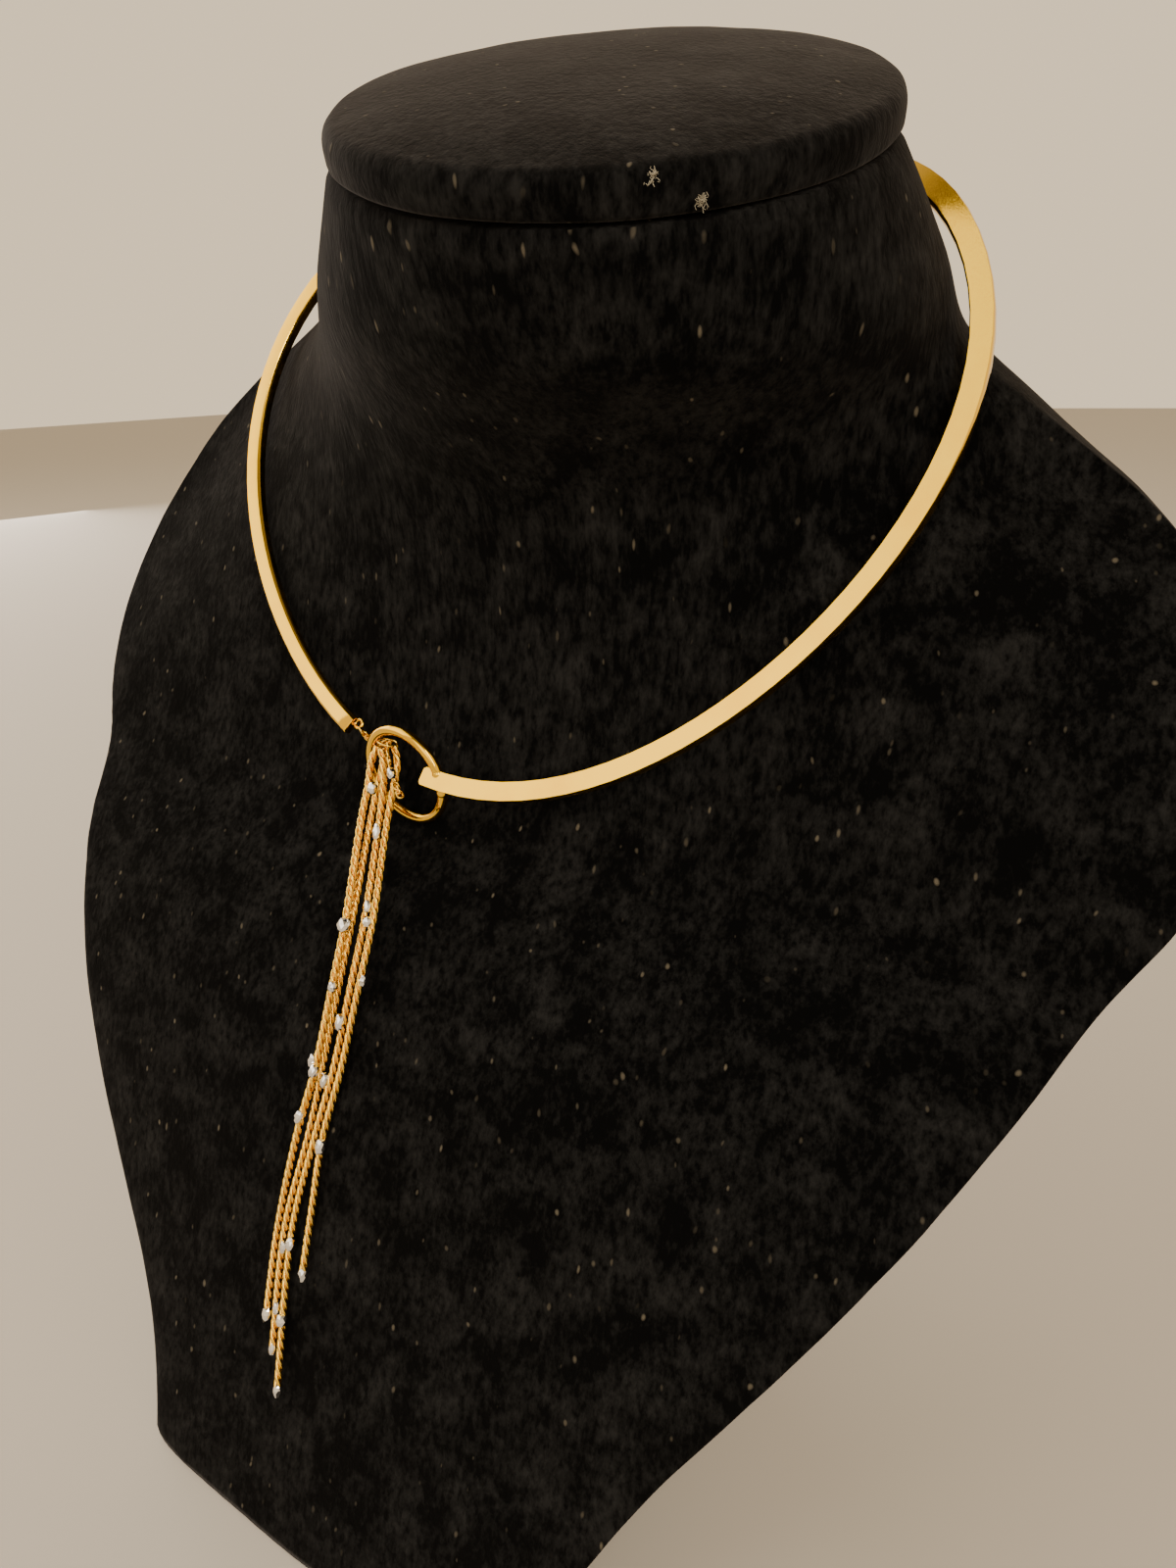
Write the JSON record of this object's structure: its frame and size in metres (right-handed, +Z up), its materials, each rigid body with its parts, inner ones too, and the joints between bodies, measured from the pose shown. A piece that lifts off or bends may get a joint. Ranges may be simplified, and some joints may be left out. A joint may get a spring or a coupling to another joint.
{
  "type": "collar choker necklace on neck bust",
  "caption": "Rigid gold-tone collar choker with a wire ring clasp and a tassel of twisted chains hanging through it, shown on a black velvet neck bust.",
  "frame": {"origin": "middle of the bounding box at the bottom, on the surface that the bust stands on", "axes": "-Y the way the chest faces, +X towards the bust's own left, +Z up"},
  "size_m": [0.2144, 0.1476, 0.2354],
  "materials": {
    "velvet": "matt black pile",
    "polished_gilt": "polished pale gold",
    "chain_gilt": "polished gold chain with silver beads"
  },
  "bodies": {
    "root": {"bust_form": "velvet", "neck_cap": "velvet", "collar_with_ring": "polished_gilt", "link_chain": "chain_gilt", "strand_1": "chain_gilt", "strand_2": "chain_gilt", "strand_3": "chain_gilt", "strand_4": "chain_gilt", "strand_5": "chain_gilt"}
  },
  "joints": []
}
